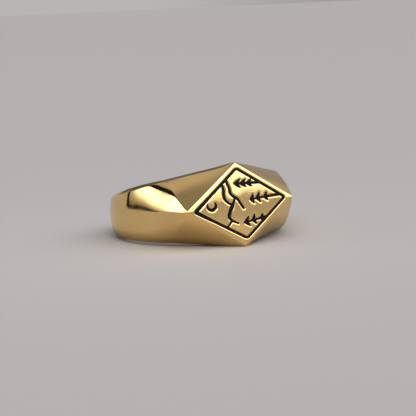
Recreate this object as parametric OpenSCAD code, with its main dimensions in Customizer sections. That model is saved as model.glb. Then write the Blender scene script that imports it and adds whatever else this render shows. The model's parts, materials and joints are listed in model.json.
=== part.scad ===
// Signet ring with a rhombus face, ridged shoulders and a landscape engraved and filled in black.
// The finger bore runs along Z, the face looks along -Y, and X runs along the face's long diagonal.

/* [Band] */
// Diameter of the finger bore
bore_d = 18.2; // [17:0.1:18.6]
// Radius of the ridge that runs round the middle of the band
ridge_r = 10.7; // [10.5:0.1:11.2]
// Radius of the edge between the outside of the band and its flat rims
rim_r = 10.3; // [10:0.1:10.5]
// Width of the band at its two sides
side_w = 5.5; // [5:0.1:6.2]
// Width of the band at the back of the finger
back_w = 3.1; // [2.6:0.1:4.4]

/* [Face] */
// Distance from the bore's axis to the face
face_dist = 13; // [12.4:0.1:14]
// Long diagonal of the face, across the finger
face_long = 13.2; // [12.4:0.1:14]
// Short diagonal of the face, along the finger
face_short = 9.7; // [9.2:0.1:10.4]
// Angle round the band, from the face, where the shoulder's crease meets the rim
crease_angle = 44; // [40:1:48]

/* [Engraving] */
// Depth of the engraved grooves below the face
groove_depth = 0.45; // [0.3:0.05:0.8]
// How far the black fill stays below the face
fill_below = 0.08; // [0.04:0.01:0.15]
// Size of the framing line, as a share of the face
frame_share = 0.83; // [0.8:0.01:0.86]
// Width of the framing line
frame_line_w = 0.3; // [0.2:0.02:0.36]
// Width of the drawn lines
line_w = 0.24; // [0.16:0.02:0.3]
// Radius of the crescent moon
moon_r = 0.6; // [0.5:0.05:0.7]

/* [Hidden] */
$fn = 96;
gold = [0.83, 0.67, 0.38];
black = [0.06, 0.05, 0.05];
bore_r = bore_d / 2;
core_gap = 0.6;
core_r = bore_r - core_gap;
half_long = face_long / 2;
half_short = face_short / 2;
cut_size = 60;
groove_start = -1;
shoulder_steps = 7;
back_step = 4;

// Corners of the face and the top of the left crease
face_top = [0, -face_dist, half_short];
face_left = [-half_long, -face_dist, 0];

// Half the width of the band at an angle round it from the face.
// Seen from the side, each rim is a straight line from the crease to the back.
function rim_half_w(a) = side_w / 2 + (side_w - back_w) / 2 * cos(a);

// Point at an angle round the band from the face, with positive angles towards +X
function around(r, a, z) = [r * sin(a), -r * cos(a), z];
function rim_point(a) = around(rim_r, a, rim_half_w(abs(a)));
crease_top = rim_point(-crease_angle);

// The two head planes on one side meet in a line through the face's end corner.
// head_apex is where that line would reach the middle of the ring if the face weren't cut flat.
head_normal = cross(face_left - face_top, crease_top - face_top);
head_apex = face_dist + half_long * abs(head_normal.x / head_normal.y);

// The ridge leaves the face's corner in a straight line and runs onto its circle
corner_angle = atan2(half_long, face_dist);
tangent_angle = corner_angle + acos(ridge_r / norm([half_long, face_dist]));
corner_right = [half_long, -face_dist, 0];
tangent_point = around(ridge_r, tangent_angle, 0);

// Stations on the right half: a ridge point and the rim point that it is joined to
function shoulder_station(t) = [
    corner_right * (1 - t) + tangent_point * t,
    rim_point(crease_angle + (tangent_angle - crease_angle) * t)
];
function back_station(a) = [around(ridge_r, a, 0), rim_point(a)];
back_count = floor((180 - tangent_angle) / back_step);
right_half = concat(
    [for (i = [0 : shoulder_steps]) shoulder_station(i / shoulder_steps)],
    [for (i = [1 : back_count - 1]) back_station(tangent_angle + i * (180 - tangent_angle) / back_count)]
);
function mirror_x(p) = [-p.x, p.y, p.z];
head_station = [[0, -head_apex, 0], face_top];
back_middle = [around(ridge_r, 180, 0), rim_point(180)];
stations = concat(
    [head_station],
    right_half,
    [back_middle],
    [for (i = [len(right_half) - 1 : -1 : 0]) [mirror_x(right_half[i][0]), mirror_x(right_half[i][1])]]
);

// Cross-section at a station: inner top, rim top, ridge, rim bottom, inner bottom
function core_point(rim) = concat([rim.x, rim.y] * core_r / norm([rim.x, rim.y]), rim.z);
function mirror_z(p) = [p.x, p.y, -p.z];
function section(station) =
    let (ridge = station[0], rim = station[1])
    [core_point(rim), rim, ridge, mirror_z(rim), mirror_z(core_point(rim))];

// Closed tube through the stations
module skin() {
    ring_pts = [for (s = stations) each section(s)];
    n = len(stations);
    k = len(section(stations[0]));
    faces = [for (i = [0 : n - 1], j = [0 : k - 1])
        let (here = i * k, next = (i + 1) % n * k, up = (j + 1) % k)
        each [[here + j, here + up, next + up], [here + j, next + up, next + j]]];
    polyhedron(ring_pts, faces);
}

// Outline of a drawn line through points, with a width at each point
function unit(v) = v / norm(v);
function heading(path, i) =
    let (into = i > 0 ? unit(path[i] - path[i - 1]) : [0, 0])
    let (out = i < len(path) - 1 ? unit(path[i + 1] - path[i]) : [0, 0])
    unit(into + out);
function offset_point(path, widths, i, side) =
    path[i] + side * widths[i] / 2 * [-heading(path, i).y, heading(path, i).x];
function ribbon(path, widths) = concat(
    [for (i = [0 : len(path) - 1]) offset_point(path, widths, i, 1)],
    [for (i = [len(path) - 1 : -1 : 0]) offset_point(path, widths, i, -1)]
);
function even(path, w) = [for (p = path) w];

// Drawings on the face, with x along the long diagonal and y along +Z
module rhombus(share) {
    polygon([[half_long, 0], [0, half_short], [-half_long, 0], [0, -half_short]] * share);
}
side_length = norm([half_long, half_short]);
line_share = frame_line_w * side_length / (2 * half_long * half_short);
module frame_line() {
    difference() {
        rhombus(frame_share + line_share);
        rhombus(frame_share - line_share);
    }
}
module inside_frame() {
    intersection() {
        children();
        rhombus(frame_share - line_share);
    }
}

moon_centre = [-3.6, 0.3];
moon_bite = [0.05, 0.28];
moon_bite_share = 0.84;
module moon() {
    difference() {
        translate(moon_centre) circle(r = moon_r);
        translate(moon_centre + moon_bite) circle(r = moon_r * moon_bite_share);
    }
}

stream_left = [[-2.3, 3.2], [-1.95, 2], [-2, 1.35], [-1.9, 0.75], [-1.5, 0.3], [-1.22, 0.12]];
module stream_left_line() {
    inside_frame() polygon(ribbon(stream_left, even(stream_left, line_w)));
}

stream_right = [[-1.6, 3.6], [-1.4, 2.6], [-1.2, 1.95], [-1.15, 1.4], [-0.8, 0.95], [-0.35, 0.6], [-0.05, 0.1],
    [0.25, -0.45]];
module stream_right_line() {
    inside_frame() polygon(ribbon(stream_right, even(stream_right, line_w)));
}

cliff = [[-0.78, 0.62], [-1, 0.15], [-1.3, -0.35], [-1.55, -0.85], [-1.65, -1.2], [-1.5, -1.55], [-1.2, -1.8],
    [-0.65, -2.1]];
cliff_widths = [0.7, 1, 1.3, 1.3, 1.2, 1.1, 1, 0.7] * line_w;
module cliff_line() {
    difference() {
        polygon(ribbon(cliff, cliff_widths));
        stream_left_line();
        stream_right_line();
    }
}

foot = [[-1.3, -1.65], [-1.8, -2.15], [-2.3, -2.65]];
module foot_line() {
    difference() {
        inside_frame() polygon(ribbon(foot, even(foot, line_w)));
        cliff_line();
    }
}

// A pine lies on its side with its tip towards -X.
// Each row is [distance from the tip, sweep back, reach up, reach down].
trunk_widths = [0.7, 1] * line_w;
branch_widths = [1, 1, 0.6] * line_w;
branch_sag = 0.05;
module branch(start, end, along) {
    middle = (start + end) / 2 + along * branch_sag;
    polygon(ribbon([start - along * line_w / 2, middle, end], branch_widths));
}
module pine(tip, root, rows) {
    along = unit(root - tip);
    across = [-along.y, along.x];
    inside_frame() union() {
        polygon(ribbon([tip, root], trunk_widths));
        for (row = rows) {
            start = tip + along * row[0];
            branch(start, start + along * row[1] + across * row[2], along);
            branch(start, start + along * row[1] - across * row[3], along);
        }
    }
}
module pine_top() {
    pine([-0.4, 2.25], [3.2, 2.2], [[0, 0.6, 0.45, 0.45], [0.7, 0.6, 0.45, 0.4], [1.5, 0.5, 0.42, 0.38]]);
}
module pine_middle() {
    pine([1.3, 0.3], [5.3, 0.3], [[0, 0.3, 0.5, 0.5], [0.75, 0.4, 0.6, 0.5], [1.75, 0.3, 0.5, 0.4]]);
}
module pine_bottom() {
    pine([0.2, -1.95], [4.4, -1.65], [[0, 0.55, 0.52, 0.55], [1, 0.35, 0.6, 0.5], [2.05, 0.3, 0.42, 0.42]]);
}

// A drawing sunk below the face, from one depth to another
module sunk(from, to) {
    translate([0, -face_dist + to, 0]) rotate([90, 0, 0]) linear_extrude(to - from) children();
}
module groove() {
    sunk(groove_start, groove_depth) children();
}
module fill() {
    color(black) sunk(fill_below, groove_depth) children();
}

module ring_body() {
    color(gold) difference() {
        skin();
        cylinder(h = cut_size, d = bore_d, center = true);
        translate([0, -face_dist - cut_size / 2, 0]) cube(cut_size, center = true);
        groove() frame_line();
        groove() moon();
        groove() stream_left_line();
        groove() stream_right_line();
        groove() cliff_line();
        groove() foot_line();
        groove() pine_top();
        groove() pine_middle();
        groove() pine_bottom();
    }
}
module frame_line_fill() { fill() frame_line(); }
module moon_fill() { fill() moon(); }
module stream_left_fill() { fill() stream_left_line(); }
module stream_right_fill() { fill() stream_right_line(); }
module cliff_line_fill() { fill() cliff_line(); }
module foot_line_fill() { fill() foot_line(); }
module pine_top_fill() { fill() pine_top(); }
module pine_middle_fill() { fill() pine_middle(); }
module pine_bottom_fill() { fill() pine_bottom(); }

ring_body();
frame_line_fill();
moon_fill();
stream_left_fill();
stream_right_fill();
cliff_line_fill();
foot_line_fill();
pine_top_fill();
pine_middle_fill();
pine_bottom_fill();
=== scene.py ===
import json
import math

import bmesh
import bpy
import numpy as np
from mathutils import Matrix, Vector


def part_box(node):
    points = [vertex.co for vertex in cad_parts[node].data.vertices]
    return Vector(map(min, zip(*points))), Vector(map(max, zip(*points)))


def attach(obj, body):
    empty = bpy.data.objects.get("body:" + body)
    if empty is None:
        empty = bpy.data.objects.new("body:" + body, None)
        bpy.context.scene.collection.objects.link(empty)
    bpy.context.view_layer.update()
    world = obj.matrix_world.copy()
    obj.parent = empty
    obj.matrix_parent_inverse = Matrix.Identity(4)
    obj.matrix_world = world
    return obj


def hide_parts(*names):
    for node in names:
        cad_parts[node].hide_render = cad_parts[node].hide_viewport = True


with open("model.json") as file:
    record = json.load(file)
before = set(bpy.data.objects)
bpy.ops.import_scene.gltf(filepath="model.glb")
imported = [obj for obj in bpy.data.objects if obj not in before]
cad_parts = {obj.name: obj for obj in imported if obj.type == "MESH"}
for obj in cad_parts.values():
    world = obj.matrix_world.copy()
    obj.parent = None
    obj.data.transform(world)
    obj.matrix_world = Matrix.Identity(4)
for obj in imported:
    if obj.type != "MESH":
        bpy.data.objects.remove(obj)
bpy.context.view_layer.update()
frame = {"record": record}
mm = 0.001

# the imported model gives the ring's main sizes, here in millimetres
bodyLow, bodyHigh = (np.array(corner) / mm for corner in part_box("ring_body"))
boreMount = next(m for m in frame["record"]["mounts"] if m["name"] == "finger_bore")
print("frame loaded, ring body", np.round(bodyHigh - bodyLow, 2), "mm")

ring = {
    "boreR": boreMount["dims"]["r_mm"],
    "ridgeR": float(bodyHigh[0]),     # the ridge round the middle of the band
    "rimR": 10.3,                     # the edge of the flat rims
    "faceDist": float(-bodyLow[1]),
    "faceLong": 13.2,
    "faceShort": float(2 * bodyHigh[2]),
    "sideW": 5.5,
    "backW": 3.1,
    "creaseAngle": 44.0,
    "creaseBow": 0.15,                # the polished creases aren't quite straight ...
    "creaseBow": 0.15,                # the polished creases aren't quite straight ...
    "creaseBowSide": 0.25,            # ... and this share of the bow is left at the side of the band
    "facetBellies": (0.1, 0.32),      # the facets on both sides of them belly out, left and right
    "creaseRound": 0.2,
    "headTurn": 2.3,                  # degrees, the head sits a touch askew on the band ...
    "headTurnFade": 0.4,              # ... and has its full turn this far behind the face
    "tipGap": 0.12,                   # between the face's upper corner and the rim
    "boreRound": 0.35,
    "rimRound": 0.5,
    "lowerRound": 1.3,                # the lower rim is worn rounder
    "edgeRound": 0.1,                 # round the rhombus face
    "ridgeSharp": 0.07,               # rounding of the ridge at the face ...
    "ridgeSide": 0.6,                 # ... at the side of the band ...
    "ridgeSoft": 1.15,                # ... and at the back
    "ridgeSoftRate": 1.6,             # how quickly it gets there
    "ridgeBow": 0.07,                 # how far the ridge bows out between the face and the side
    "dome": 0.06,                     # how far the band's two slopes are domed ...
    "domeRate": 1.5,                  # ... and how quickly that sets in behind the face
}

halfLong = ring["faceLong"] / 2
halfShort = ring["faceShort"] / 2
faceHalfShort = halfShort - ring["tipGap"]
sideLength = math.hypot(halfLong, faceHalfShort)
faceWidth = 2 * halfLong * faceHalfShort / sideLength     # from one edge of the face square across


def unit(v):
    v = np.asarray(v, float)
    return v / np.linalg.norm(v, axis=-1, keepdims=True)


def smooth(x):
    x = np.clip(x, 0, 1)
    return x * x * (3 - 2 * x)


def around(r, angle, z):
    a = np.radians(angle)
    return np.stack([r * np.sin(a), -r * np.cos(a), z + 0 * a], axis=-1)


# circular arc that is tangent to both legs of a corner, as a rational curve
def roundedCorner(before, corner, after, u):
    turn = np.sum(unit(corner - before) * unit(after - corner), axis=-1)
    weight = np.sqrt((1 + np.clip(turn, -1, 1)) / 2)[..., None]
    a, b, c = (1 - u) ** 2, 2 * u * (1 - u) * weight, u ** 2
    return (a * before + b * corner + c * after) / (a + b + c)


def rimHalfW(angle):
    return ring["sideW"] / 2 + (ring["sideW"] - ring["backW"]) / 2 * np.cos(np.radians(angle))


engraving = {
    "lineW": 0.3,
    "frameShare": 0.84,
    # top, right, bottom and left corner of the framing line
    "frameCorners": [(0.0, 4.11), (5.58, 0.1), (0.25, -3.92), (-5.66, -0.15)],
    "frameLineW": 0.32,
    "frameHeavy": 0.1,                # the framing line is cut wider towards its left corner ...
    "heavyFrom": 0.45,                # ... starting at this share of the way there ...
    "heavyOver": 0.4,                 # ... and in full this share further on
    "frameRound": 0.25,
    "depth": 0.34,
    "wall": 0.05,
    "lipW": 0.08,                     # the grooves' edges are rubbed round by polishing
    "lipDrop": 0.032,
    "fillBelow": 0.07,
    "fillDish": 0.035,                # the fill sags between its edges
    "wobble": 0.012,                  # a graver never runs quite true
    "wobbleWaves": ((2.3, 1.1), (-1.4, 2.9)),
    "wobblePhases": (0.4, 1.9),
}

relief = {
    "pillow": 0.1,                    # the face stands proud in its middle by this much
    "borderLean": 0.08,               # the border outside the framing line leans outwards
    "ripple": 0.003,                  # unevenness left by hand polishing ...
    # ... as waves: along x, along z, phase, share
    "rippleWaves": [(1.7, 0.8, 0.5, 1.0), (-0.9, 2.1, 2.0, 1.0), (2.9, -1.3, 0.0, 0.6)],
}

# the face's grid has its lines close together at the edges and at the framing line
faceGrid = {
    "edgeBand": 0.16,
    "edgeLines": 8,
    "gapLines": 8,
    "beforeFrame": 0.25,
    "afterFrame": 0.3,
    "frameLines": 22,
    "middleLines": 150,
}


# where the grid's lines lie, as shares of one side
def gridShares():
    frameAt = (1 - engraving["frameShare"]) / 2 * sideLength
    frameStart = frameAt - faceGrid["beforeFrame"]
    frameEnd = frameAt + faceGrid["afterFrame"]
    near = np.concatenate([
        np.linspace(0, faceGrid["edgeBand"], faceGrid["edgeLines"], endpoint=False),
        np.linspace(faceGrid["edgeBand"], frameStart, faceGrid["gapLines"], endpoint=False),
        np.linspace(frameStart, frameEnd, faceGrid["frameLines"], endpoint=False)])
    middle = np.linspace(frameEnd, sideLength - frameEnd, faceGrid["middleLines"])
    return np.concatenate([near, middle, (sideLength - near)[::-1]]) / sideLength


shares = gridShares()
headCount = len(shares)
edgeY = -ring["faceDist"] + relief["pillow"] + relief["borderLean"]
rimTop = np.array([0, edgeY + ring["tipGap"], halfShort])
faceTop = np.array([0, edgeY, faceHalfShort])
faceRight = np.array([halfLong, edgeY, 0])
faceInward = unit([-faceHalfShort, 0, -halfLong])     # from the face's upper right edge, square across it

# how finely the skin of the band and the head is divided
skinGrid = {
    "shoulderSteps": 60,
    "shoulderBunching": 1.6,          # above 1, the steps crowd towards the face's corner
    "backSteps": 99,
    "boreRows": 8,
    "boreRoundRows": 8,
    "rimRows": 5,
    "rimRoundRows": 10,
    "facetRows": 20,
    "edgeRows": 6,                    # over the rounding at the face or the ridge
}


# the quarter with x >= 0 and z >= 0: where each station meets the rim, and the face or the ridge
def quarterStations():
    creaseAngle = np.array(ring["creaseAngle"])
    crease = around(ring["rimR"], creaseAngle, rimHalfW(creaseAngle))
    headTop = faceTop + (faceRight - faceTop) * shares[:, None]
    headRim = rimTop + (crease - rimTop) * shares[:, None]

    cornerAngle = math.degrees(math.atan2(halfLong, -edgeY))
    tangent = cornerAngle + math.degrees(math.acos(ring["ridgeR"] / math.hypot(halfLong, edgeY)))
    tangentPoint = around(ring["ridgeR"], np.array(tangent), 0.0)
    t = np.linspace(0, 1, skinGrid["shoulderSteps"] + 1)[1:] ** skinGrid["shoulderBunching"]
    outWay = unit(np.cross(tangentPoint - faceRight, [0, 0, 1]))
    bulge = 27 / 4 * t * (1 - t) ** 2             # reaches 1 a third of the way along
    shoulderTop = faceRight + (tangentPoint - faceRight) * t[:, None]
    shoulderTop += ring["ridgeBow"] * bulge[:, None] * outWay
    angles = ring["creaseAngle"] + (tangent - ring["creaseAngle"]) * t
    shoulderRim = around(ring["rimR"], angles, rimHalfW(angles))

    backAngles = np.linspace(tangent, 180, skinGrid["backSteps"] + 1)[1:]
    back = np.linspace(0, 1, skinGrid["backSteps"])
    tops = np.concatenate([headTop, shoulderTop, around(ring["ridgeR"], backAngles, 0.0)])
    rims = np.concatenate([headRim, shoulderRim, around(ring["rimR"], backAngles, rimHalfW(backAngles))])

    # the shoulder's surface swells a little past the straight crease
    past = unit(faceRight - tangentPoint)
    leg = unit(crease - faceRight)
    bowWay = unit(past - leg * np.dot(past, leg))
    headWay = unit(np.cross(faceRight - faceTop, crease - faceTop))
    shoulderWay = unit(np.cross(leg, past))
    bellyWay = unit(headWay * np.sign(headWay[0]) + shoulderWay * np.sign(shoulderWay[0]))
    sideBow = ring["creaseBowSide"]
    bow = np.concatenate([shares ** 2, 1 - (1 - sideBow) * smooth(t), sideBow * (1 - smooth(back))])
    belly = np.concatenate([shares ** 2, 1 - smooth(t), 0 * back])
    soft = np.concatenate([
        0 * shares,
        ring["ridgeSharp"] + (ring["ridgeSide"] - ring["ridgeSharp"]) * t ** 4,
        ring["ridgeSide"] + (ring["ridgeSoft"] - ring["ridgeSide"]) * smooth(ring["ridgeSoftRate"] * back)])
    dome = np.concatenate([0 * shares, smooth(ring["domeRate"] * t), 1 + 0 * back])
    domeWay = unit(np.cross(np.gradient(tops + rims, axis=0), rims - tops))
    domeWay *= np.sign(np.sum(domeWay * (tops + rims), axis=1, keepdims=True))
    swelling = ring["creaseBow"] * bow[:, None] * bowWay + ring["dome"] * dome[:, None] * domeWay
    return tops, rims, belly[:, None] * bellyWay, swelling, soft[:, None]


stationTop, stationRim, stationBelly, stationSwell, ridgeRound = quarterStations()


# no rounding takes up more than its share of a facet's length
roundLimits = {"rim": 0.35, "rimFacet": 0.4, "face": 0.3, "ridge": 0.42}


def stepShares(count):
    return np.linspace(0, 1, count, endpoint=False)


# each station's profile, from the middle of the bore over the rim to the face's edge or the ridge
def quarterSkin(rimReach, facetBelly):
    outward = np.column_stack([unit(stationRim[:, :2]), 0 * stationRim[:, 2]])
    boreTop = outward * ring["boreR"] + stationRim * [0, 0, 1]
    facet = unit(stationTop - stationRim)
    facetLength = np.linalg.norm(stationTop - stationRim, axis=1)[:, None]
    isHead = (np.arange(len(stationTop)) < headCount)[:, None]
    rimRound = np.minimum(ring["rimRound"], roundLimits["rim"] * facetLength)
    rimReach = np.minimum(rimReach, roundLimits["rimFacet"] * facetLength)
    lastRound = np.where(isHead, np.minimum(ring["edgeRound"], roundLimits["face"] * facetLength),
                         np.minimum(ridgeRound, roundLimits["ridge"] * facetLength))
    boreMiddle = boreTop * [1, 1, 0]
    boreA = boreTop - [0, 0, ring["boreRound"]]
    boreC = boreTop + ring["boreRound"] * outward
    rimA = stationRim - rimRound * outward
    rimC = stationRim + rimReach * facet
    topA = stationTop - lastRound * facet
    inFace = stationTop + lastRound * faceInward

    def bowed(row):
        share = np.clip(np.linalg.norm(row - stationRim, axis=1)[:, None] / facetLength, 0, 1)
        return row + (facetBelly * stationBelly + stationSwell) * 4 * share * (1 - share)

    rows = [boreMiddle + (boreA - boreMiddle) * u for u in stepShares(skinGrid["boreRows"])]
    rows += [roundedCorner(boreA, boreTop, boreC, u) for u in stepShares(skinGrid["boreRoundRows"])]
    rows += [boreC + (rimA - boreC) * u for u in stepShares(skinGrid["rimRows"])]
    rows += [bowed(roundedCorner(rimA, stationRim, rimC, u)) for u in stepShares(skinGrid["rimRoundRows"])]
    rows += [bowed(rimC + (topA - rimC) * u) for u in stepShares(skinGrid["facetRows"])]
    for u in np.linspace(0, 0.5, skinGrid["edgeRows"]):
        overEdge = roundedCorner(topA, stationTop, inFace, u)
        overRidge = roundedCorner(topA, stationTop, topA * [1, 1, -1], u)
        rows.append(np.where(isHead, overEdge, overRidge) + (bowed(topA) - topA) * (1 - 2 * u))
    skin = np.stack(rows, axis=1)
    skin[0, :, 0] = 0                         # the two halves meet here, at the face's upper corner ...
    skin[-1, :, 0] = 0                        # ... and at the back
    skin[headCount - 1, -1, 2] = 0
    skin[headCount:, -1, 2] = 0
    return skin


# rounds the crease over, row by row, from the head's facet to the shoulder's
def roundCrease(skin):
    k = headCount - 1
    rounded = skin.copy()
    r = ring["creaseRound"]
    for row in range(skin.shape[1]):
        line = skin[:, row]
        steps = np.linalg.norm(np.diff(line, axis=0), axis=1)
        along = np.concatenate([[0], np.cumsum(steps)])
        along = along - along[k]
        before, after = (np.array([np.interp(at, along, line[:, c]) for c in range(3)]) for at in (-r, r))
        near = np.abs(along) < r
        u = 0.5 + 0.5 * along[near] / r
        rounded[near, row] = roundedCorner(before, line[k], after, u[:, None])
    return rounded


# one skin for each quarter, kept under the signs of its x and z
def quarterSkins():
    made = {}
    for sx, facetBelly in zip((-1, 1), ring["facetBellies"]):
        for sz, reach in ((-1, ring["lowerRound"]), (1, ring["rimRound"])):
            skin = quarterSkin(reach, facetBelly)
            # the face's edge and the ridge keep their own rounding
            facetEnd = skin.shape[1] - skinGrid["edgeRows"]
            skin[:, :facetEnd] = roundCrease(skin[:, :facetEnd])
            made[sx, sz] = skin
    return made


skins = quarterSkins()
print("band and head laid out:", len(stationTop), "stations in each quarter")


# drawings on the face, all measured with x along the long diagonal and y along +Z
def capsule(p, a, b, ra, rb):
    leg = b - a
    t = np.clip(((p - a) @ leg) / (leg @ leg), 0, 1)
    return np.linalg.norm(p - a - t[..., None] * leg, axis=-1) - (ra + (rb - ra) * t)


# soft curve through listed points
def flowing(path, perLeg=6):
    path = np.array(path, float)
    padded = np.vstack([2 * path[0] - path[1], path, 2 * path[-1] - path[-2]])
    out = []
    for i in range(1, len(padded) - 2):
        p0, p1, p2, p3 = padded[i - 1:i + 3]
        for t in np.linspace(0, 1, perLeg, endpoint=False):
            out.append(0.5 * (2 * p1 + (p2 - p0) * t + (2 * p0 - 5 * p1 + 4 * p2 - p3) * t ** 2
                              + (3 * p1 - p0 - 3 * p2 + p3) * t ** 3))
    return np.array(out + [path[-1]])


def stroke(p, path, widths):
    reach = np.linspace(0, 1, len(path))
    halfW = np.interp(reach, np.linspace(0, 1, len(widths)), widths) * engraving["lineW"] / 2
    parts = [capsule(p, path[i], path[i + 1], halfW[i], halfW[i + 1]) for i in range(len(path) - 1)]
    return np.min(parts, axis=0)


def wobbled(p):
    waves = np.array(engraving["wobbleWaves"])
    return p + engraving["wobble"] * np.sin(p @ waves.T + engraving["wobblePhases"])


# distance outside the four-sided frame, with its corners rounded
def outsideFrame(p):
    corners = np.array(engraving["frameCorners"], float)
    r = engraving["frameRound"]
    sides = []
    for k in range(4):
        leg = unit(corners[(k + 1) % 4] - corners[k])
        sides.append((p - corners[k]) @ np.array([-leg[1], leg[0]]) + r)
    sides = np.sort(np.array(sides), axis=0)
    both = np.maximum(sides[-2:], 0)
    return np.where(sides[-2] > 0, np.hypot(both[0], both[1]), sides[-1]) - r


def frameLine(p):
    leftness = smooth((-p[..., 0] / halfLong - engraving["heavyFrom"]) / engraving["heavyOver"])
    halfW = engraving["frameLineW"] / 2 + engraving["frameHeavy"] / 2 * leftness
    return np.abs(outsideFrame(p)) - halfW


def keepInFrame(p, d):
    return np.maximum(np.maximum(d, outsideFrame(p)), -frameLine(p))


moon = {"centre": (-3.62, 0.33), "radius": 0.52, "fromDeg": 165.0, "toDeg": 385.0,
        "widths": (0.5, 1.05, 1.25, 1.1, 0.6)}


def moonLine(p):
    a = np.radians(np.linspace(moon["fromDeg"], moon["toDeg"], 22))
    arc = np.array(moon["centre"]) + moon["radius"] * np.column_stack([np.cos(a), np.sin(a)])
    return stroke(p, arc, moon["widths"])


stream = {
    "left": [(-2.3, 3.2), (-1.95, 2.0), (-2.0, 1.35), (-1.9, 0.75), (-1.5, 0.3), (-1.1, 0.05)],
    "right": [(-1.6, 3.6), (-1.4, 2.6), (-1.2, 1.95), (-1.15, 1.4), (-0.8, 0.95), (-0.35, 0.6), (-0.05, 0.1),
              (0.25, -0.45)],
}


def streamLeft(p):
    return keepInFrame(p, stroke(wobbled(p), flowing(stream["left"]), (1, 1, 0.9)))


def streamRight(p):
    return keepInFrame(p, stroke(wobbled(p), flowing(stream["right"]), (1, 1, 1.1, 1)))


cliff = {
    "edge": [(-0.72, 0.75), (-1.0, 0.15), (-1.3, -0.35), (-1.55, -0.85), (-1.65, -1.2), (-1.5, -1.55),
             (-1.2, -1.8), (-0.65, -2.1)],
    "edgeWidths": (0.6, 1.35, 1.35, 1.0, 0.6),
    "foot": [(-1.35, -1.7), (-1.8, -2.15), (-2.3, -2.65)],
}


def cliffLine(p):
    d = stroke(wobbled(p), flowing(cliff["edge"]), cliff["edgeWidths"])
    return np.maximum(np.maximum(d, -streamLeft(p)), -streamRight(p))


def footLine(p):
    return np.maximum(keepInFrame(p, stroke(p, np.array(cliff["foot"]), (0.8, 0.8))), -cliffLine(p))


# a pine lies on its side, tip towards -X; each row is distance from the tip, sweep, reach up, reach down
pines = {
    "top": {"tip": (-0.4, 2.4), "root": (3.2, 2.12),
            "rows": [(0.0, 0.6, 0.45, 0.45), (0.7, 0.6, 0.45, 0.4), (1.5, 0.5, 0.42, 0.38)]},
    "middle": {"tip": (1.3, 0.4), "root": (5.3, 0.5),
               "rows": [(0.0, 0.3, 0.5, 0.5), (0.75, 0.4, 0.6, 0.5), (1.75, 0.3, 0.5, 0.4)]},
    "bottom": {"tip": (0.22, -2.1), "root": (4.4, -1.66),
               "rows": [(0.0, 0.55, 0.52, 0.55), (1.0, 0.35, 0.6, 0.5), (2.05, 0.3, 0.42, 0.42)]},
}


def pineLine(name):
    pine = pines[name]
    tip, root = np.array(pine["tip"]), np.array(pine["root"])
    along = unit(root - tip)
    across = np.array([-along[1], along[0]])

    def draw(p):
        w = wobbled(p)
        parts = [stroke(w, np.array([tip, root]), (0.7, 1.0))]
        for start, sweep, up, down in pine["rows"]:
            base = tip + along * start
            for reach in (up, -down):
                end = base + along * sweep + across * reach
                middle = (base + end) / 2 + along * 0.05
                parts.append(stroke(w, flowing([base, middle, end], 4), (1.1, 1.15, 0.45)))
        return keepInFrame(p, np.min(parts, axis=0))
    return draw


drawings = {
    "frame_line": frameLine,
    "moon": moonLine,
    "stream_left": streamLeft,
    "stream_right": streamRight,
    "cliff_line": cliffLine,
    "foot_line": footLine,
    "pine_top": pineLine("top"),
    "pine_middle": pineLine("middle"),
    "pine_bottom": pineLine("bottom"),
}


# the face's grid in the plane: each point's shares of the two sides, and its place
def gridPlan():
    a, b = np.meshgrid(shares, shares, indexing="ij")
    x = halfLong * (a - b)
    z = faceHalfShort * (1 - a - b)
    return a, b, np.stack([x, z], axis=-1)


shareA, shareB, plan = gridPlan()


# how far each point of the face lies below the proudest one
def faceDrop(p):
    x, z = p[..., 0], p[..., 1]
    a = (1 + x / halfLong - z / faceHalfShort) / 2
    b = (1 - x / halfLong - z / faceHalfShort) / 2
    middle = 16 * a * b * (1 - a) * (1 - b)       # 1 in the middle of the face, 0 along its edges
    q = 1 - 2 * np.min([a, b, 1 - a, 1 - b], axis=0)
    border = np.clip((q - engraving["frameShare"]) / (1 - engraving["frameShare"]), 0, 1)
    ripple = sum(share * np.sin(kx * x + kz * z + phase) for kx, kz, phase, share in relief["rippleWaves"])
    return (relief["pillow"] * (1 - middle) + relief["borderLean"] * border ** 1.5
            + relief["ripple"] * ripple * middle)


grooveDistance = np.min([draw(plan) for draw in drawings.values()], axis=0)


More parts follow.
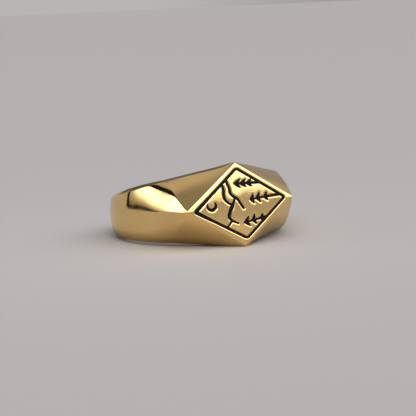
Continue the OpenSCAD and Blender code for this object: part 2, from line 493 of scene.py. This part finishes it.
def faceSurface():
    d = grooveDistance
    wall, lip = engraving["wall"], engraving["lipW"]
    cut = engraving["depth"] * smooth((0.4 * wall - d) / (1.4 * wall))
    rubbed = engraving["lipDrop"] * np.exp(-np.clip(d, 0, None) ** 2 / lip ** 2)
    y = -ring["faceDist"] + faceDrop(plan) + cut + rubbed
    grid = np.stack([plan[..., 0], y, plan[..., 1]], axis=-1)

    # round the face's four edges, so that it runs on into the facets
    facetWay = unit(stationRim - stationTop)[:headCount]
    facetLength = np.linalg.norm(stationRim - stationTop, axis=1)[:headCount]
    edgeRound = np.minimum(ring["edgeRound"], roundLimits["face"] * facetLength)
    rowAt, columnAt = np.indices((headCount, headCount))
    last = headCount - 1
    # signs of x and z on each edge: share of the way in from it, and its nearest station
    edges = {
        (1, 1): (shareB, rowAt),
        (-1, 1): (shareA, columnAt),
        (1, -1): (1 - shareA, last - columnAt),
        (-1, -1): (1 - shareB, last - rowAt),
    }
    move = np.zeros_like(grid)
    for (sx, sz), (share, station) in edges.items():
        flip = np.array([sx, 1, sz])
        distance = (share * faceWidth)[..., None]
        r = edgeRound[station][..., None]
        inward = faceInward * flip
        corner = stationTop[station] * flip
        before = corner + facetWay[station] * flip * r
        after = corner + inward * r
        u = 0.5 + 0.5 * np.clip(distance / r, 0, 1)
        shift = roundedCorner(before, corner, after, u) - (corner + inward * distance)
        move += np.where(distance < r, shift, 0)
    grid = grid + move
    # the grid's rim is the skin's own edge
    rimRow = skins[1, 1][:headCount, -1]
    grid[:, 0] = rimRow
    grid[0, :] = rimRow * [-1, 1, 1]
    grid[-1, :] = rimRow[::-1] * [1, 1, -1]
    grid[:, -1] = rimRow[::-1] * [-1, 1, -1]
    return grid


face = faceSurface()
print("face cut:", face.shape[0], "by", face.shape[1], "points")


def gridQuads(rows, columns, start=0, flip=False):
    i, j = np.meshgrid(np.arange(rows - 1), np.arange(columns - 1), indexing="ij")
    a = (start + i * columns + j).ravel()
    quads = np.column_stack([a, a + 1, a + columns + 1, a + columns])
    return quads[:, ::-1] if flip else quads


weldGap = 2e-5                        # points closer than about this, in mm, become one


# joins points that lie on each other, and drops any face that this closes up
def weld(points, quads):
    keys = np.round(points / weldGap).astype(np.int64)
    _, first, index = np.unique(keys, axis=0, return_index=True, return_inverse=True)
    faces = []
    for quad in index.ravel()[quads]:
        corners = [v for k, v in enumerate(quad) if v != quad[k - 1]]
        if len(corners) > 2:
            faces.append(corners)
    return points[first], faces


# turns the head on the band, fading out before it reaches the bore
def turnHead(points):
    x, y, z = np.asarray(points, float).T
    fullAt = ring["faceDist"] - ring["boreR"] - ring["headTurnFade"]
    a = math.radians(ring["headTurn"]) * smooth((-y - ring["boreR"]) / fullAt)
    return np.column_stack([x * np.cos(a) - z * np.sin(a), y, x * np.sin(a) + z * np.cos(a)])


def addMesh(name, points, faces, material):
    mesh = bpy.data.meshes.new(name)
    mesh.from_pydata(points, [], faces)
    mesh.materials.append(material)
    obj = bpy.data.objects.new(name, mesh)
    bpy.context.collection.objects.link(obj)
    return obj


def makePiece(name, points, faces, material, slot, node):
    piece = addMesh(name, (turnHead(points) * mm).tolist(), [list(map(int, f)) for f in faces], material)
    work = bmesh.new()
    work.from_mesh(piece.data)
    bmesh.ops.recalc_face_normals(work, faces=work.faces)
    work.to_mesh(piece.data)
    openEdges = sum(1 for e in work.edges if not e.is_manifold)
    work.free()
    piece.data.polygons.foreach_set("use_smooth", [True] * len(piece.data.polygons))
    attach(piece, "root")
    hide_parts(node)
    print(name, "made,", len(piece.data.polygons), "faces,", openEdges, "open edges")


def ringMesh():
    points, quads, start = [], [], 0
    for (sx, sz), skin in skins.items():
        rows, columns = skin.shape[:2]
        points.append((skin * [sx, 1, sz]).reshape(-1, 3))
        quads.append(gridQuads(rows, columns, start, flip=sx * sz > 0))
        start += rows * columns
    points.append(face.reshape(-1, 3))
    quads.append(gridQuads(headCount, headCount, start))
    return weld(np.concatenate(points), np.concatenate(quads))


fillShape = {
    "edgeAt": 0.015,                  # the fill reaches this far into the groove's wall
    "steps": 4,                       # its outline is moved onto the drawing's this many times ...
    "longestStep": 0.03,              # ... by this much at most
    "probe": 0.004,                   # how far apart the slope is felt for
    "leastSlope": 0.2,
    "dishReach": 0.1,
    "aboveFloor": 0.01,
}


# the fill of one drawing: its grid cells, with the outermost points moved onto the drawing's own outline
def fillMesh(draw):
    edgeAt, h, longest = fillShape["edgeAt"], fillShape["probe"], fillShape["longestStep"]
    inside = draw(plan) < edgeAt
    cell = inside[:-1, :-1] & inside[1:, :-1] & inside[1:, 1:] & inside[:-1, 1:]
    # cells that would only meet at a corner get another one beside them
    cell[:-1, 1:] |= cell[:-1, :-1] & cell[1:, 1:] & ~cell[1:, :-1]
    cell[:-1, :-1] |= cell[1:, :-1] & cell[:-1, 1:] & ~cell[1:, 1:]
    touching = np.zeros((headCount, headCount), int)
    for i in (0, 1):
        for j in (0, 1):
            touching[i:headCount - 1 + i, j:headCount - 1 + j] += cell
    used = touching > 0
    outer = used & (touching < 4)
    p = plan.copy()
    for _ in range(fillShape["steps"]):
        q = p[outer]
        d = draw(q) - edgeAt
        slope = np.column_stack([draw(q + way) - draw(q - way) for way in ([h, 0], [0, h])]) / (2 * h)
        size = np.maximum(np.sum(slope ** 2, axis=1, keepdims=True), fillShape["leastSlope"])
        p[outer] = q - np.clip(d[:, None] * slope / size, -longest, longest)
    number = -np.ones((headCount, headCount), int)
    number[used] = np.arange(used.sum())
    flat = p[used]
    sag = engraving["fillBelow"] + engraving["fillDish"] * smooth(-draw(flat) / fillShape["dishReach"])
    base = -ring["faceDist"] + faceDrop(flat)
    topPoints = np.column_stack([flat[:, 0], base + sag, flat[:, 1]])
    lowPoints = np.column_stack([flat[:, 0], base + engraving["depth"] - fillShape["aboveFloor"], flat[:, 1]])
    ci, cj = np.nonzero(cell)
    quads = np.column_stack([number[ci, cj], number[ci, cj + 1], number[ci + 1, cj + 1], number[ci + 1, cj]])
    n = len(flat)
    directed = {(int(q[k]), int(q[(k + 1) % 4])) for q in quads for k in range(4)}
    sides = [(b, a, a + n, b + n) for a, b in directed if (b, a) not in directed]
    return np.vstack([topPoints, lowPoints]), list(quads) + list(quads[:, ::-1] + n) + sorted(sides)


def newMaterial(name):
    m = bpy.data.materials.new(name)
    m.use_nodes = True
    return m, m.node_tree.nodes, m.node_tree.links


# a node at its place in the tree, with the values of its inputs given by their names
def nodeAt(nodes, kind, x, y, operation=None, **values):
    n = nodes.new(kind)
    n.location = (x, y)
    if operation:
        n.operation = operation
    for key, value in values.items():
        n.inputs[key.replace("_", " ")].default_value = value
    return n


def rampAt(nodes, x, y, stops):
    ramp = nodeAt(nodes, "ShaderNodeValToRGB", x, y)
    elements = ramp.color_ramp.elements
    for k, (at, colour) in enumerate(stops):
        stop = elements[k] if k < 2 else elements.new(at)
        stop.position = at
        stop.color = colour
    return ramp


gold = {
    "deep": (0.81, 0.555, 0.225, 1),
    "bright": (0.86, 0.61, 0.27, 1),
    "tintFrom": 0.35,                 # where in the cloudy noise the tint goes from deep ...
    "tintTo": 0.65,                   # ... to bright
    "roughLow": 0.03,
    "roughHigh": 0.08,
    "rubRange": (0.3, 0.7),           # where in the finer noise it goes from smooth to rough
    "cloudScale": 260,
    "rubScale": 1560,
    "scratchScale": 900,
    "scratchTurns": [(0.3, 0.5, 0.2), (1.2, -0.4, 0.9)],      # two sets of scratches cross at a slant
    "scratchStretch": (1, 14, 14),
    "scratchHeight": 0.0000012,
}


def polishedGold():
    m, nodes, links = newMaterial("polishedGold")
    shader = nodes["Principled BSDF"]
    shader.inputs["Metallic"].default_value = 1.0
    where = nodeAt(nodes, "ShaderNodeTexCoord", -1300, 0)

    cloud = nodeAt(nodes, "ShaderNodeTexNoise", -900, 300, Scale=gold["cloudScale"], Detail=3.0)
    links.new(where.outputs["Object"], cloud.inputs["Vector"])
    tint = rampAt(nodes, -600, 300, [(gold["tintFrom"], gold["deep"]), (gold["tintTo"], gold["bright"])])
    links.new(cloud.outputs["Fac"], tint.inputs["Fac"])
    links.new(tint.outputs["Color"], shader.inputs["Base Color"])

    rub = nodeAt(nodes, "ShaderNodeTexNoise", -900, 0, Scale=gold["rubScale"], Detail=5.0)
    links.new(where.outputs["Object"], rub.inputs["Vector"])
    rubLow, rubHigh = gold["rubRange"]
    rough = nodeAt(nodes, "ShaderNodeMapRange", -600, 0, From_Min=rubLow, From_Max=rubHigh,
                   To_Min=gold["roughLow"], To_Max=gold["roughHigh"])
    links.new(rub.outputs["Fac"], rough.inputs["Value"])
    links.new(rough.outputs["Result"], shader.inputs["Roughness"])

    both = nodeAt(nodes, "ShaderNodeMath", -600, -400, "ADD")
    for k, turn in enumerate(gold["scratchTurns"]):
        y = -300 - 300 * k
        lay = nodeAt(nodes, "ShaderNodeMapping", -1100, y, Rotation=turn, Scale=gold["scratchStretch"])
        fine = nodeAt(nodes, "ShaderNodeTexNoise", -900, y, Scale=gold["scratchScale"], Detail=4.0)
        links.new(where.outputs["Object"], lay.inputs["Vector"])
        links.new(lay.outputs["Vector"], fine.inputs["Vector"])
        links.new(fine.outputs["Fac"], both.inputs[k])
    bump = nodeAt(nodes, "ShaderNodeBump", -300, -300, Strength=1.0, Distance=gold["scratchHeight"])
    links.new(both.outputs["Value"], bump.inputs["Height"])
    links.new(bump.outputs["Normal"], shader.inputs["Normal"])
    return m


fill = {
    "dark": (0.0015, 0.0012, 0.0012, 1),
    "worn": (0.006, 0.005, 0.004, 1),
    "darkTo": 0.4,                    # where in the grain it goes from dark ...
    "wornFrom": 0.75,                 # ... to worn
    "roughLow": 0.45,
    "roughHigh": 0.7,
    "sheen": 0.12,
    "grainScale": 5000,
    "grainStrength": 0.6,
    "grainHeight": 0.000006,
}


def blackFill():
    m, nodes, links = newMaterial("blackFill")
    shader = nodes["Principled BSDF"]
    shader.inputs["Specular IOR Level"].default_value = fill["sheen"]
    where = nodeAt(nodes, "ShaderNodeTexCoord", -1000, 0)
    grain = nodeAt(nodes, "ShaderNodeTexNoise", -800, 0, Scale=fill["grainScale"], Detail=6.0)
    links.new(where.outputs["Object"], grain.inputs["Vector"])
    tint = rampAt(nodes, -500, 200, [(fill["darkTo"], fill["dark"]), (fill["wornFrom"], fill["worn"])])
    links.new(grain.outputs["Fac"], tint.inputs["Fac"])
    links.new(tint.outputs["Color"], shader.inputs["Base Color"])
    rough = nodeAt(nodes, "ShaderNodeMapRange", -500, -50, To_Min=fill["roughLow"], To_Max=fill["roughHigh"])
    links.new(grain.outputs["Fac"], rough.inputs["Value"])
    links.new(rough.outputs["Result"], shader.inputs["Roughness"])
    bump = nodeAt(nodes, "ShaderNodeBump", -300, -300, Strength=fill["grainStrength"],
                  Distance=fill["grainHeight"])
    links.new(grain.outputs["Fac"], bump.inputs["Height"])
    links.new(bump.outputs["Normal"], shader.inputs["Normal"])
    return m


def makeFills(material):
    for name, draw in drawings.items():
        first, *rest = name.split("_")
        pieceName = first + "".join(word.capitalize() for word in rest) + "Fill"
        makePiece(pieceName, *fillMesh(draw), material, "black_fill", name + "_fill")


goldMaterial = polishedGold()
fillMaterial = blackFill()
print("materials mixed")
makePiece("ringBody", *ringMesh(), goldMaterial, "polished_gold", "ring_body")
makeFills(fillMaterial)


# the camera's own axes in the ring's frame: to the right, up, and from the ring to the lens
camera = {
    "right": (0.916, -0.3886, -0.1002),
    "up": (0.0977, -0.0262, 0.9949),
    "distance": 0.1687,
    "lens": 119.5,
    "shift": (0.0267, -0.002),
}

cameraAway = unit(np.cross(camera["right"], camera["up"]))


def makeCamera():
    away = Vector(cameraAway)
    right = Vector(camera["right"]).normalized()
    up = away.cross(right)
    data = bpy.data.cameras.new("camera")
    data.lens = camera["lens"]
    data.shift_x, data.shift_y = camera["shift"]
    data.clip_start = 0.01
    data.clip_end = 20
    obj = bpy.data.objects.new("camera", data)
    bpy.context.collection.objects.link(obj)
    turn = Matrix((right, up, away)).transposed().to_4x4()
    obj.matrix_world = Matrix.Translation(away * camera["distance"]) @ turn
    bpy.context.scene.camera = obj


makeCamera()

# the ring rests on the face's lower corner and the back of its lower rim
def tablePlane():
    low = np.array([0, edgeY + ring["tipGap"] * 0.5, -halfShort])
    back = np.array([0, ring["rimR"], -ring["backW"] / 2])
    run = back - low
    return unit(np.array([0, -run[2], run[1]])), low


tableUp, tableSpot = tablePlane()
tableFront = unit(cameraAway - tableUp * np.dot(cameraAway, tableUp))
tableRight = np.cross(tableUp, tableFront)


# a way out from the ring: turn is from the camera's side towards its right, rise is above the table
def wayOut(turn, rise):
    a, e = math.radians(turn), math.radians(rise)
    return math.cos(e) * (math.cos(a) * tableFront + math.sin(a) * tableRight) + math.sin(e) * tableUp


table = {"size": 40.0, "gap": 0.00002, "colour": (0.374, 0.366, 0.366, 1)}


# a dull material for what stands round the ring
def flatMaterial(name, colour, roughness=0.7, sheen=0.1):
    m, nodes, _ = newMaterial(name)
    shader = nodes["Principled BSDF"]
    shader.inputs["Base Color"].default_value = colour
    shader.inputs["Roughness"].default_value = roughness
    shader.inputs["Specular IOR Level"].default_value = sheen
    return m


def makeCard(name, corners, material):
    card = addMesh(name, [tuple(c) for c in corners], [(0, 1, 2, 3)], material)
    return card


def makeTable():
    half = table["size"] / 2
    spot = tableSpot * mm - tableUp * table["gap"]
    signs = ((-1, 1), (1, 1), (1, -1), (-1, -1))
    corners = [spot + half * (sx * tableRight + sy * tableFront) for sx, sy in signs]
    makeCard("table", corners, flatMaterial("paleTable", table["colour"]))


# painted shade: a dark strip laid round the ring's foot, seen only in the polish, that stands in for the
# table's shadow round the foot as the gold reflects it; densest at the ring
paintedFootShade = {
    "dense": 0.5,
    "reach": (-1.5, 3.4),             # where it starts and ends, from the rim outwards
    "lift": 0.03,
    "segments": 72,
    "colour": (0.05, 0.035, 0.015, 1),
}


# the painted shade's material: dark brown, fading out away from the ring's rim
def paintedShadeMaterial():
    m = flatMaterial("paintedShadeCard", paintedFootShade["colour"])
    nodes, links = m.node_tree.nodes, m.node_tree.links
    where = nodeAt(nodes, "ShaderNodeTexCoord", -900, -200)
    flat = nodeAt(nodes, "ShaderNodeVectorMath", -700, -200, "MULTIPLY")
    flat.inputs[1].default_value = (1, 1, 0)
    links.new(where.outputs["Object"], flat.inputs[0])
    length = nodeAt(nodes, "ShaderNodeVectorMath", -500, -200, "LENGTH")
    links.new(flat.outputs["Vector"], length.inputs[0])
    end = ring["rimR"] + paintedFootShade["reach"][1]
    dense = nodeAt(nodes, "ShaderNodeMapRange", -300, -200, To_Min=paintedFootShade["dense"], To_Max=0.0,
                   From_Min=ring["rimR"] * mm, From_Max=end * mm)
    links.new(length.outputs["Value"], dense.inputs["Value"])
    links.new(dense.outputs["Result"], nodes["Principled BSDF"].inputs["Alpha"])
    return m


# lays the painted shade strip round the foot, hidden from the camera, from diffuse light and from shadows, so
# that only the gold's reflection shows it
def makePaintedFootShade():
    count = paintedFootShade["segments"]
    angles = np.linspace(0, 360, count, endpoint=False)
    inner, outer = (around(ring["rimR"] + reach, angles, 0.0) for reach in paintedFootShade["reach"])
    spots = np.concatenate([inner, outer])
    spots[:, 2] -= (spots - tableSpot) @ tableUp / tableUp[2] - paintedFootShade["lift"]
    faces = [(k, (k + 1) % count, count + (k + 1) % count, count + k) for k in range(count)]
    strip = addMesh("paintedFootShade", (spots * mm).tolist(), faces, paintedShadeMaterial())
    strip.visible_camera = False
    strip.visible_diffuse = False
    strip.visible_shadow = False


# a tall softbox on the left in a black frame, brighter above its lower edge
softbox = {
    "turns": (-100.5, -80.0),
    "rises": (3.5, 34.5),
    "frame": (5.0, 1.5, 2.0, 20.0),   # black border in degrees: left, right, below, above
    "frameColour": (0.005, 0.005, 0.005, 1),
    "distance": 1.2,
    "frameBehind": 1.01,              # the frame stands this many times as far away
    # share of its height, and how bright it is there
    "levels": [(0.0, 0.7), (0.015, 0.9), (0.035, 1.1), (0.083, 1.8), (0.155, 2.8), (0.25, 3.2), (1.0, 3.2)],
    "dimmed": 0.24,                   # its left part is dimmer by this factor ...
    "dimTurns": (-93.2, -97.2),       # ... and this is where it fades
}


def softboxCorners(margins, distance):
    (leftTurn, rightTurn), (low, high) = softbox["turns"], softbox["rises"]
    middle = wayOut((leftTurn + rightTurn) / 2, 0)
    leftTurn -= margins[0]
    rightTurn += margins[1]
    low -= margins[2]
    high += margins[3]
    corners = []
    for turn, rise in ((leftTurn, low), (rightTurn, low), (rightTurn, high), (leftTurn, high)):
        level = wayOut(turn, 0)
        foot = level * distance / np.dot(level, middle)
        corners.append(foot + tableUp * distance * math.tan(math.radians(rise)))
    return corners


# the glow changes with the height up the cloth, and its strength across it
def softboxCloth(corners):
    m, nodes, links = newMaterial("softboxCloth")
    nodes.remove(nodes["Principled BSDF"])
    glow = nodeAt(nodes, "ShaderNodeEmission", 0, 0)
    where = nodeAt(nodes, "ShaderNodeTexCoord", -900, 0)
    height = nodeAt(nodes, "ShaderNodeVectorMath", -700, 0, "DOT_PRODUCT")
    height.inputs[1].default_value = tuple(tableUp)
    links.new(where.outputs["Object"], height.inputs[0])
    low, high = (float(np.dot(corners[k], tableUp)) for k in (0, 2))
    share = nodeAt(nodes, "ShaderNodeMapRange", -500, 0, From_Min=low, From_Max=high)
    links.new(height.outputs["Value"], share.inputs["Value"])
    top = max(value for _, value in softbox["levels"])
    level = rampAt(nodes, -300, 0, [(at, (value / top,) * 3 + (1,)) for at, value in softbox["levels"]])
    links.new(share.outputs["Result"], level.inputs["Fac"])
    links.new(level.outputs["Color"], glow.inputs["Color"])

    side = unit(corners[1] - corners[0])
    across = nodeAt(nodes, "ShaderNodeVectorMath", -700, -300, "DOT_PRODUCT")
    across.inputs[1].default_value = tuple(side)
    links.new(where.outputs["Object"], across.inputs[0])
    middle = wayOut(sum(softbox["turns"]) / 2, 0)
    ways = [wayOut(turn, 0) for turn in softbox["dimTurns"]]
    start, end = (float(np.dot(way * softbox["distance"] / np.dot(way, middle), side)) for way in ways)
    dim = nodeAt(nodes, "ShaderNodeMapRange", -500, -300, From_Min=start, From_Max=end,
                 To_Min=top, To_Max=top * softbox["dimmed"])
    dim.interpolation_type = "SMOOTHSTEP"
    links.new(across.outputs["Value"], dim.inputs["Value"])
    links.new(dim.outputs["Result"], glow.inputs["Strength"])
    links.new(glow.outputs["Emission"], nodes["Material Output"].inputs["Surface"])
    return m


def makeSoftbox():
    corners = softboxCorners((0, 0, 0, 0), softbox["distance"])
    behind = softboxCorners(softbox["frame"], softbox["distance"] * softbox["frameBehind"])
    cards = [
        makeCard("softbox", corners, softboxCloth(corners)),
        makeCard("softboxFrame", behind, flatMaterial("blackCloth", softbox["frameColour"])),
    ]
    for card in cards:
        card.visible_camera = False


# soft lamps that only light the table: where they hang over it, in mm to the right and to the front
lamps = {
    "pool": {"right": -4, "front": 10, "up": 42, "size": 44,
             "power": 0.003, "colour": (1.0, 0.97, 0.92)},
    "goldBounce": {"right": -1, "front": 13, "up": 5, "size": 10,
                   "power": 0.00022, "colour": (1.0, 0.64, 0.12)},
}


def makeLamps():
    facing = Matrix((tableRight, -tableFront, tableUp)).transposed().to_4x4()
    for name, lamp in lamps.items():
        data = bpy.data.lights.new(name, "AREA")
        data.shape = "DISK"
        data.size = lamp["size"] * mm
        data.energy = lamp["power"]
        data.color = lamp["colour"]
        spot = lamp["right"] * tableRight + lamp["front"] * tableFront
        lift = lamp["up"] - np.dot(spot - tableSpot, tableUp)
        obj = bpy.data.objects.new(name, data)
        bpy.context.collection.objects.link(obj)
        obj.matrix_world = Matrix.Translation(Vector((spot + lift * tableUp) * mm)) @ facing
        obj.visible_camera = False
        obj.visible_glossy = False


# the room round the table: one soft grey, with broad lights and dark corners given by the way they lie
room = {
    "grey": (1.0, 0.965, 0.96, 1),
    "level": 0.48,
    "dimmest": 0.1,
    # degrees round and up, how wide it is in full and where it has faded, and how much light it adds
    "patches": [
        {"turn": -8, "rise": 46, "full": 20, "fade": 26, "add": 2.6},         # overhead light
        {"turn": 50, "rise": 46, "full": 35.5, "fade": 38.2, "add": 1.5},     # front light
        {"turn": 92, "rise": 33, "full": 18, "fade": 26, "add": 1.4},         # right light
        {"turn": -138, "rise": 62, "full": 6, "fade": 16, "add": 0.08},       # faint light, back left
        {"turn": 47, "rise": -1, "full": 2.5, "fade": 5.5, "add": 0.22},      # glow, front right, low down
        {"turn": -85, "rise": 70, "full": 6, "fade": 14, "add": -0.2},        # dark above the softbox
        {"turn": -126, "rise": 28, "full": 16, "fade": 24, "add": -0.32},     # dark drape, back left ...
        {"turn": -156, "rise": 38, "full": 17, "fade": 25, "add": -0.32},     # ... and behind it
        {"turn": 163, "rise": 11, "full": 12, "fade": 22, "add": -0.15},      # dark drape, back right
    ],
}


def makeRoom():
    world = bpy.data.worlds.new("room")
    world.use_nodes = True
    nodes, links = world.node_tree.nodes, world.node_tree.links
    ground = nodes["Background"]
    ground.inputs["Color"].default_value = room["grey"]
    where = nodeAt(nodes, "ShaderNodeTexCoord", -1200, 0)
    total = None
    for k, patch in enumerate(room["patches"]):
        near = nodeAt(nodes, "ShaderNodeVectorMath", -900, -200 * k, "DOT_PRODUCT")
        near.inputs[1].default_value = tuple(wayOut(patch["turn"], patch["rise"]))
        links.new(where.outputs["Generated"], near.inputs[0])
        faded, inFull = (math.cos(math.radians(patch[edge])) for edge in ("fade", "full"))
        lit = nodeAt(nodes, "ShaderNodeMapRange", -650, -200 * k, To_Max=patch["add"],
                     From_Min=faded, From_Max=inFull)
        lit.interpolation_type = "SMOOTHSTEP"
        links.new(near.outputs["Value"], lit.inputs["Value"])
        both = nodeAt(nodes, "ShaderNodeMath", -400, -200 * k, "ADD")
        both.inputs[1].default_value = room["level"]
        links.new(lit.outputs["Result"], both.inputs[0])
        if total is not None:
            links.new(total.outputs["Value"], both.inputs[1])
        total = both
    dimmest = nodeAt(nodes, "ShaderNodeMath", -200, 0, "MAXIMUM")
    dimmest.inputs[1].default_value = room["dimmest"]
    links.new(total.outputs["Value"], dimmest.inputs[0])
    links.new(dimmest.outputs["Value"], ground.inputs["Strength"])
    bpy.context.scene.world = world


makeTable()
makePaintedFootShade()
makeSoftbox()
makeLamps()
makeRoom()
bpy.context.scene.view_settings.view_transform = "Standard"
bpy.context.scene.view_settings.look = "None"
print("studio set up")
